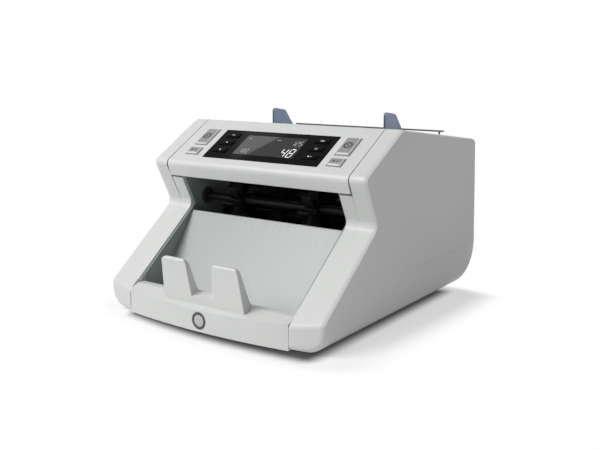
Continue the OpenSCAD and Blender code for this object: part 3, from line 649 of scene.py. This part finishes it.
def panel_seam(x, up_arm=11.0):
    """Points (x, y, z) on the strip's outline at x: from up_arm mm up the arm, over the front edge
    and down the front."""
    outline = case_rings(np.array([x]), np.zeros(1), STRIP_VIEW, 14)[0]
    over = outline[-14:]
    slope = (outline[-15] - over[0]) / np.linalg.norm(outline[-15] - over[0])
    arm = over[0] + slope * np.linspace(up_arm, 1, 12)[:, None]
    down = over[-1] + (outline[0] - over[-1]) * np.linspace(0.1, 1, 10)[:, None]
    flat = np.vstack([arm, over, down])
    return np.column_stack([np.full(len(flat), x), flat])


seam_path = panel_seam(PANEL_SEAM_X)
rings = ribbon(seam_path, np.full(len(seam_path), PANEL_SEAM_W), PANEL_SEAM_H, None)
rings = rings * (-1, 1, 1) - (0, MID_Y, 0)
points, faces = closed_stack(rings, rings[0].mean(0), rings[-1].mean(0))
# Painted shade: a dark ribbon standing for the shadow in the seam's gap.
put_mesh("left_panel_seam_shade", points, faces, gap_shade_grey, "case")
print("panel seam", seam_path[[0, -1]].round(1))

# %% [markdown]
# ## Moulded pieces with small edge radii
# The top cover, front panel, rear cover and hopper wall have cut-outs and ribs that a stack of
# rings can't follow. Their solids already have the right shape, so a merged copy with a Bevel on
# every sharp edge gives the small radius that a moulding tool leaves and that catches the light.

# %% Softened copies
def softened(node, width, material, angle=28, segments=3):
    """Merged copy of a solid, its flat faces joined, with every edge sharper than angle rounded by
    width mm."""
    source = frame["nodes"][node]
    shape = bmesh.new()
    shape.from_mesh(source.data)
    bmesh.ops.remove_doubles(shape, verts=shape.verts, dist=3e-6)
    bmesh.ops.dissolve_limit(
        shape, angle_limit=math.radians(0.2), verts=shape.verts, edges=shape.edges)
    mesh = bpy.data.meshes.new(node + "_soft")
    shape.to_mesh(mesh)
    shape.free()
    mesh.polygons.foreach_set("use_smooth", np.ones(len(mesh.polygons), bool))
    mesh.set_sharp_from_angle(angle=math.radians(angle))
    mesh.materials.append(material)
    piece = bpy.data.objects.new(node + "_soft", mesh)
    bpy.context.scene.collection.objects.link(piece)
    edge = piece.modifiers.new("edge", "BEVEL")
    edge.width = width * MM
    edge.segments = segments
    edge.limit_method = "ANGLE"
    edge.angle_limit = math.radians(angle)
    edge.harden_normals = True
    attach(piece, source["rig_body"])
    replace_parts(piece, node)
    return piece


SOFT = [
    ("top_cover", 0.45, case_grey, "shell"),
    ("front_panel", 0.9, case_grey, "shell"),
    ("base_pan", 0.5, case_grey, "shell"),
    ("back_panel", 0.5, case_grey, "shell"),
    ("rear_cover", 0.6, hopper_grey, "shell_inner"),
    ("pocket_ramp", 0.4, ramp_grey, "ramp"),
    ("hopper_front", 0.5, pocket_dark, "dark_plastic"),
    ("control_glass", 0.25, glass_black, "control_glass"),
    ("left_guide", 0.5, guide_blue, "guide"),
    ("right_guide", 0.5, guide_blue, "guide"),
    ("mains_inlet", 0.4, inlet_black, "inlet"),
    ("power_rocker", 0.4, rocker_black, "inlet"),
    ("stacker_wheels", 0.25, black_and_gap_shade, "dark_plastic"),
]
for node, width, material, slot in SOFT:
    print(node, len(softened(node, width, material).data.polygons), "faces")

# %% [markdown]
# ## The control panel's own frame
# Everything on the sloped panel is drawn as seen square on: u to the right, v up the slope from the
# glass's lower edge, and w out of the panel. One function takes such points into the machine.

# %% Panel frame
TILT = math.atan2(177.6 - 140.8, 137 - 75)
FOOT = np.array([75, 140.8]) + 12.2 * np.array([math.cos(TILT), math.sin(TILT)])


def on_panel(u, v, w):
    """Points from arrays: foot + v (cos t, sin t) + w (-sin t, cos t) in Y and Z, and u in X."""
    u, v, w = np.broadcast_arrays(*(np.asarray(k, float) for k in (u, v, w)))
    y = FOOT[0] + v * math.cos(TILT) - w * math.sin(TILT) - MID_Y
    z = FOOT[1] + v * math.sin(TILT) + w * math.cos(TILT)
    return np.stack([u, y, z], -1)


def oblong(u, v, wide, high, r):
    """Corners of a rounded rectangle round (u, v), anticlockwise."""
    a, b = wide / 2, high / 2
    return [(u - a, v - b, r), (u + a, v - b, r), (u + a, v + b, r), (u - a, v + b, r)]


def panel_stack(corners, levels, steps=8):
    """Closed surface from levels (w, inset): the outline drawn in by inset at each height w."""
    levels = np.asarray(levels, float)
    flat = ring_stack(corners, levels[:, 1], steps)
    rings = on_panel(flat[..., 0], flat[..., 1], levels[:, :1])
    middle = np.mean(np.asarray(corners, float)[:, :2], 0)
    return closed_stack(rings, on_panel(*middle, levels[0, 0]), on_panel(*middle, levels[-1, 0]))


print("panel tilt", round(math.degrees(TILT), 2), "degrees, foot", FOOT.round(2))

# %% [markdown]
# ## Buttons and keys
# The four buttons are light, with a sloped edge all round and a grey pad on top. The six keys are
# low black pillows that stand in holes of the glass. Both are stacks of rounded rectangles, where
# the height first rises up the wall, then over the edge and on to the middle.

# %% Buttons and keys
def button_levels(top, slope):
    """Heights and insets of a button: wall, a slope of 45 degrees with both its edges eased, then
    the flat top."""
    edge = [[top - slope - 0.2, 0], [top - slope, 0.07], [top - slope + 0.15, 0.2]]
    crest = [
        [top - 0.15, slope - 0.1], [top - 0.03, slope + 0.05],
        [top, slope + 0.25], [top, slope + 1.5]]
    return np.vstack([[[-6, 0]], edge, crest])


def key_levels(top, r):
    """Heights and insets of a key: wall, quarter-circle edge, then a crown of 0.15 mm."""
    a = np.radians(np.linspace(0, 90, 7))
    edge = np.stack([top - 0.15 - r + r * np.sin(a), r * (1 - np.cos(a))], -1)
    return np.vstack([[[-6, 0]], edge, [[top - 0.05, r + 0.8], [top, r + 1.6]]])


CAP_TOP, CAP_W, CAP_LESS = 2.0, 14.2, 0.8
PAD_W, PAD_LESS, PAD_FACE = 11.6, 3.4, 2.05
PAD_LEVELS = np.array([[1.5, 0.0], [CAP_TOP, 0.0], [PAD_FACE, 0.1], [PAD_FACE, 1.2]])
BUTTON_U, KEY_U, KEY_V = 85.2, 54.0, (12.6, 25.0, 37.4)
wells = []
for side, s in (("left", -1), ("right", 1)):
    for kind, v0, v1 in (("tall", 19.3, 45.3), ("short", 2.8, 13.6)):
        node = f"{side}_{kind}_button"
        u, v = s * BUTTON_U, (v0 + v1) / 2
        cap = oblong(u, v, CAP_W, v1 - v0 - CAP_LESS, 0.8)
        points, faces = panel_stack(cap, button_levels(CAP_TOP, 1.3))
        put_mesh(node + "_cap", points, faces, rim_grey, node, [node])
        pad = oblong(u, v, PAD_W, v1 - v0 - PAD_LESS, 0.4)
        points, faces = panel_stack(pad, PAD_LEVELS)
        put_mesh(node + "_pad", points, faces, button_grey, node)
        wells.append((u, v0, v1))
    for k, v in enumerate(KEY_V):
        node = f"{side}_key_{k + 1}"
        points, faces = panel_stack(oblong(s * KEY_U, v, 16.4, 6.8, 1.7), key_levels(1.0, 0.8))
        put_mesh(node + "_cap", points, faces, key_black, node, [node])

# %% [markdown]
# ## Marks on buttons and keys
# The marks are plain printed signs: rings, dots, bars and arrows. All are thin flat shapes a little
# above what carries them, and a Solidify gives them a closed body. Dark bars round each button are
# painted shade in the gap of the well that it stands in.

# %% Flat shapes
def flat_shapes(name, outlines, w, material, body, thick=0.06, place=on_panel):
    """Flat polygons at height w on the panel, or on what place(u, v, w) gives, each an array [n,
    2], with a thickness in mm."""
    sizes = np.array([len(o) for o in outlines])
    first = np.concatenate([[0], np.cumsum(sizes)[:-1]])
    flat = np.vstack(outlines)
    points = place(flat[:, 0], flat[:, 1], w)
    mesh = bpy.data.meshes.new(name)
    faces = [list(range(f, f + n)) for f, n in zip(first, sizes)]
    mesh.from_pydata((points * MM).tolist(), [], faces)
    mesh.materials.append(material)
    piece = bpy.data.objects.new(name, mesh)
    bpy.context.scene.collection.objects.link(piece)
    body_of = piece.modifiers.new("body", "SOLIDIFY")
    body_of.thickness = thick * MM
    body_of.offset = -1
    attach(piece, body)
    return piece


def bar(u0, v0, u1, v1):
    """Rectangle from one corner to the other, anticlockwise."""
    return np.array([[u0, v0], [u1, v0], [u1, v1], [u0, v1]])


def ring_arcs(u, v, r0, r1, gap=0.0, n=24):
    """Ring between two radii as n quads round (u, v), open over gap degrees at the top."""
    a = np.radians(np.linspace(90 + gap / 2, 450 - gap / 2, n + 1))
    c = np.stack([np.cos(a), np.sin(a)], -1)
    middle = np.array([u, v])
    inner, outer = middle + r0 * c, middle + r1 * c
    return list(np.stack([inner[:-1], outer[:-1], outer[1:], inner[1:]], 1))


def disc(u, v, r, n=24):
    """Regular polygon with n corners round (u, v)."""
    a = np.radians(np.arange(n) * 360 / n)
    return np.stack([u + r * np.cos(a), v + r * np.sin(a)], -1)


def arrow(u, v, size, way):
    """Triangle round (u, v) that points along the angle way in degrees."""
    a = np.radians(way + np.array([0, 125, 235]))
    return np.stack([u + size * np.cos(a), v + size * np.sin(a)], -1)


def frame_bars(u, v0, v1, half, wide):
    """Four bars round a rectangle of half width half from v0 to v1, each wide, outside it."""
    a, b = u - half, u + half
    return [
        bar(a - wide, v0 - wide, b + wide, v0), bar(a - wide, v1, b + wide, v1 + wide),
        bar(a - wide, v0, a, v1), bar(b, v0, b + wide, v1)]


# Painted shade: dark bars on the panel round each button stand for the shadow in the gap of its
# well.
well_shade_bars = [q for u, v0, v1 in wells for q in frame_bars(u, v0 + 0.3, v1 - 0.3, 7.2, 1.0)]
flat_shapes("button_well_shade", well_shade_bars, 0.05, gap_shade_grey, "case")
PAD_TOP = PAD_FACE + 0.05
for side, s in (("left", -1), ("right", 1)):
    u = s * BUTTON_U
    marks = {
        "tall": ring_arcs(u, 32.3, 2.9, 4.7) + [disc(u, 32.3, 1.3)],
        "short": [
            bar(u - 3.2, 7.0, u - 0.9, 9.4), bar(u + 0.9, 7.0, u + 3.2, 7.5),
            bar(u + 0.9, 8.9, u + 3.2, 9.4)],
    }
    for kind, shapes in marks.items():
        node = f"{side}_{kind}_button"
        flat_shapes(f"{side}_{kind}_mark", shapes, PAD_TOP, mark_dark, node)
KEY_TOP = 1.07
KEY_MARKS = {
    "left_key_1": [arrow(-KEY_U, KEY_V[0], 1.3, 270)],
    "left_key_2": [arrow(-KEY_U, KEY_V[1], 1.3, 0)],
    "left_key_3": [bar(-KEY_U - 2.2, KEY_V[2] - 0.25, -KEY_U + 2.2, KEY_V[2] + 0.25)],
    "right_key_1": [
        bar(KEY_U - 2.4, KEY_V[0] - 0.8, KEY_U - 0.6, KEY_V[0] + 0.8),
        bar(KEY_U + 0.6, KEY_V[0] - 0.25, KEY_U + 2.4, KEY_V[0] + 0.25)],
    "right_key_2": ring_arcs(KEY_U, KEY_V[1], 0.9, 1.4, 60, 16),
    "right_key_3": [
        bar(KEY_U - 2.4, KEY_V[2] + k, KEY_U + 2.4, KEY_V[2] + k + 0.4) for k in (-0.9, 0.5)],
}
for node, shapes in KEY_MARKS.items():
    flat_shapes(node + "_mark", shapes, KEY_TOP, mark_pale, node)
print("marks", 4 + len(KEY_MARKS))

# %% [markdown]
# ## Signs on the mains switch
# The rocker has two flat faces that meet in a shallow V, so the upper one looks down. Each bears
# the usual sign: a bar above and a ring below. The faces are found in the rocker's own mesh, by
# their normals, so the signs tilt with them.

# %% Switch signs
rocker = frame["nodes"]["power_rocker"].data
facing = np.empty((len(rocker.polygons), 3))
rocker.polygons.foreach_get("normal", facing.ravel())
middle = np.empty_like(facing)
rocker.polygons.foreach_get("center", middle.ravel())
extent = np.empty(len(facing))
rocker.polygons.foreach_get("area", extent)


def rocker_face(top):
    """Place (u, v, w) on the upper or lower face: its middle + u to the right seen from behind + v
    up it + w along its normal."""
    tilt = np.degrees(np.arctan2(facing[:, 2], facing[:, 1]))
    out = (facing[:, 1] > 0.9) & (np.abs(facing[:, 0]) < 0.01) & (extent > 1e-6)
    half = tilt < np.average(tilt[out], weights=extent[out])
    own = out & (half == top)
    normal = np.average(facing[own], axis=0, weights=extent[own])
    normal /= np.linalg.norm(normal)
    across = np.array([-1.0, 0, 0])
    frame_axes = np.array([across, np.cross(normal, across), normal])
    heart = np.average(middle[own], axis=0, weights=extent[own]) / MM
    return lambda u, v, w: heart + np.stack([u, v, np.full_like(u, w)], -1) @ frame_axes


signs = {True: [bar(-0.35, -1.7, 0.35, 1.7)], False: ring_arcs(0, 0, 1.1, 1.7)}
for top, shapes in signs.items():
    name = "rocker_bar" if top else "rocker_ring"
    flat_shapes(name, shapes, 0.05, mark_pale, "power_rocker", place=rocker_face(top))
    print(name, "at", rocker_face(top)(np.zeros(1), np.zeros(1), 0)[0].round(1))

# %% [markdown]
# ## Window and digits
# The display's window is a shade lighter than the glass, and its digits are the seven-bar kind,
# drawn with the same flat shapes.

# %% Window and digits
WINDOW_V, DIGIT_W = 24.3, 0.24
points, faces = panel_stack(oblong(0, WINDOW_V, 72, 31, 0.8), [(0.02, 0), (0.14, 0), (0.16, 0.03)])
put_mesh("display_window", points, faces, window_grey, "case", sharp=20)

BARS = {
    "a": (0, 2, 1, 2), "b": (1, 1, 1, 2), "c": (1, 0, 1, 1), "d": (0, 0, 1, 0),
    "e": (0, 0, 0, 1), "f": (0, 1, 0, 2), "g": (0, 1, 1, 1)}
LIT = {
    "0": "abcdef", "1": "bc", "2": "abged", "3": "abgcd", "4": "fgbc",
    "5": "afgcd", "6": "afgedc", "7": "abc", "8": "abcdefg", "9": "abcdfg"}


def digits(text, u, v, high, step=0.78):
    """Seven-bar digits from (u, v): each lit bar is a six-cornered strip from A to B, pointed at
    both ends, and the whole leans by a tenth of its height. A cell is half as wide as high."""
    lit = np.array([(k, *BARS[b]) for k, t in enumerate(text) for b in LIT[t]], float)
    a, b = lit[:, 1:3], lit[:, 3:5]
    along = b - a
    across = np.stack([-along[:, 1], along[:, 0]], -1)
    s = np.array([0.04, 0.16, 0.84, 0.96, 0.84, 0.16])
    o = np.array([0, -0.08, -0.08, 0, 0.08, 0.08])
    p = a[:, None] + along[:, None] * s[:, None] + across[:, None] * o[:, None]
    scale = high / 2
    p[..., 0] = p[..., 0] * 0.85 + lit[:, :1] * step * 1.75 + 0.1 * p[..., 1]
    return list(p * scale + (u, v))


flat_shapes("main_digits", digits("48", 18.6, 9.9, 12.2), DIGIT_W, digit_lit, "case")
flat_shapes("side_digits", digits("125", 22.5, 28, 6.5), DIGIT_W, digit_dim, "case")
small_signs = [bar(a, 34.2, b, 35.0) for a, b in ((-31.8, -29.4), (3.2, 4.8), (5.4, 7.0))]
flat_shapes("small_signs", small_signs, DIGIT_W, digit_dim, "case")
flat_shapes("batch_digits", digits("100", -31, 12, 5.5), DIGIT_W, digit_dim, "case")
print("display", [round(v, 1) for v in on_panel(0, WINDOW_V, 0.2)])

# %% [markdown]
# ## Turned pieces
# Feet, badge and rollers are turned shapes: a profile of radius against distance, carried round an
# axis. The rubber rollers get shallow grooves all along, because smooth ones would slip on paper.

# %% Turned pieces
def turned(profile, n=64):
    """Rings of a profile [(radius, along)] turned round X: (along, r cos t, r sin t)."""
    profile = np.asarray(profile, float)
    t = np.arange(n) * 2 * math.pi / n
    r = profile[:, :1]
    along = np.broadcast_to(profile[:, 1:], (len(profile), n))
    return np.stack([along, r * np.cos(t), r * np.sin(t)], -1)


def ring_body(profile, n=64):
    """Points and faces of a closed profile turned into a ring, its last ring on its first."""
    rings = turned(list(profile) + [profile[0]], n)
    return rings.reshape(-1, 3), ring_faces(len(rings), n).tolist()


def joined(made):
    """Points and faces of several like shapes as one, the faces counted on shape by shape."""
    count = len(made[0][0])
    faces = [[i + k * count for i in f] for k, (_, own) in enumerate(made) for f in own]
    return np.vstack([points for points, _ in made]), faces


def foot_at(x, y):
    """Rubber foot: a rounded pad of radius 9, 5 mm high, with a hollow of 0.6 mm under it."""
    a = np.radians(np.linspace(-90, 0, 6))
    rounded = np.stack([7.6 + 1.4 * np.cos(a), 1.4 + 1.4 * np.sin(a)], -1)
    rings = turned(np.vstack([[(4.5, 0.6), (5.5, 0)], rounded, [(8.8, 5)]]))
    rings = rings[..., [1, 2, 0]] + (x, y - MID_Y, 0)
    return closed_stack(rings, (x, y - MID_Y, 0.6), (x, y - MID_Y, 5))


points, faces = joined([foot_at(x, y) for x in (-80, 80) for y in (48, 270)])
put_mesh("feet_turned", points, faces, rubber_black, "case", ["feet"])

BADGE = np.array([0, 0.0, 12.4])
ring_profile = [
    (5.65, -1.15), (5.65, -0.25), (5.85, -0.05), (6.2, 0),
    (7.4, 0), (7.8, -0.1), (7.95, -0.35), (7.95, -1.15)]
points, faces = ring_body(ring_profile)
points = points[:, [1, 0, 2]] * (1, -1, 1) + BADGE - (0, MID_Y, 0)
put_mesh("badge_ring", points, faces, badge_dark, "case", ["badge"])
face_profile = [(5.6, -1.1), (5.6, -0.55), (5.3, -0.42), (3.0, -0.36), (1.0, -0.34)]
rings = turned(face_profile)[..., [1, 0, 2]] * (1, -1, 1) + BADGE - (0, MID_Y, 0)
points, faces = closed_stack(rings, (0, 1.1 - MID_Y, 12.4), (0, 0.34 - MID_Y, 12.4))
put_mesh("badge_face", points, faces, badge_pale, "case")


BORE = 4.02


def grooved(at, radius, bore, x0, x1, pitch=2.0, deep=0.5):
    """Rubber sleeve round the X axis through at: bore, rounded shoulders and radius - deep (0.5 +
    0.5 cos) squared between."""
    x = np.linspace(x0 + 1.0, x1 - 1.0, 57)
    r = radius - deep * (0.5 + 0.5 * np.cos(2 * math.pi * (x - x0) / pitch)) ** 2
    a = np.radians(np.linspace(0, 80, 5))
    left = [(radius - 1 + math.sin(q), x0 + 1 - math.cos(q)) for q in a]
    right = [(radius - 1 + math.sin(q), x1 - 1 + math.cos(q)) for q in a[::-1]]
    profile = [(bore, x1), (bore, x0)] + left + list(zip(r, x)) + right
    points, faces = ring_body(profile, 72)
    return points + (0, at[0] - MID_Y, at[1]), faces


def sleeves(node, at, radius, spans, body, **shape):
    """All sleeves of one node as one piece."""
    points, faces = joined([grooved(at, radius, BORE, *span, **shape) for span in spans])
    return put_mesh(node + "_turned", points, faces, rubber_black, body, [node], 60)


def pair(a, b):
    """Spans from a to b on both sides of the middle."""
    return [(-b, -a), (a, b)]


sleeves("pickup_rollers", (196, 119.5), 17, pair(40, 56), "pickup")
sleeves("feed_rollers", (163, 112), 16, pair(18, 34), "feed")
sleeves("transport_rollers", (150, 84), 11, pair(12, 28) + pair(62, 78), "transport", deep=0.3)

# %% [markdown]
# ## Finishes on the remaining solids
# Shafts, motors, boards and plates inside already have their true shape. Each takes the finish of
# its real material, which shows when the rear cover is swung open or when someone looks into the
# pocket.

# %% Remaining solids
REST = {
    wall_dark: "left_chassis right_chassis",
    black_and_gap_shade: "divider sensor_bar timing_disc idler_rollers",
    glass_black: "display_module",
    board_green: "control_board main_board",
    sinter_brass: "shaft_bushes",
    black_steel: "fixed_axles pickup_shaft feed_shaft transport_shaft stacker_shaft",
    ground_steel: "base_screws hinge_pins guide_rod feed_motor_pulley stacker_motor_pulley",
    rubber_black: "retard_sleeves feed_belts stacker_belt",
    motor_grey: "feed_motor stacker_motor",
    supply_sheet: "power_supply",
    rail_dark: "rear_rail",
}
for material, names in REST.items():
    for node in names.split():
        mesh = frame["nodes"][node].data
        mesh.materials.clear()
        mesh.materials.append(material)
replaced = {n for o in bpy.data.objects for n in o.get("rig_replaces", [])}
dressed = replaced | {n for names in REST.values() for n in names.split()}
print("undressed nodes", sorted(set(frame["nodes"]) - dressed))
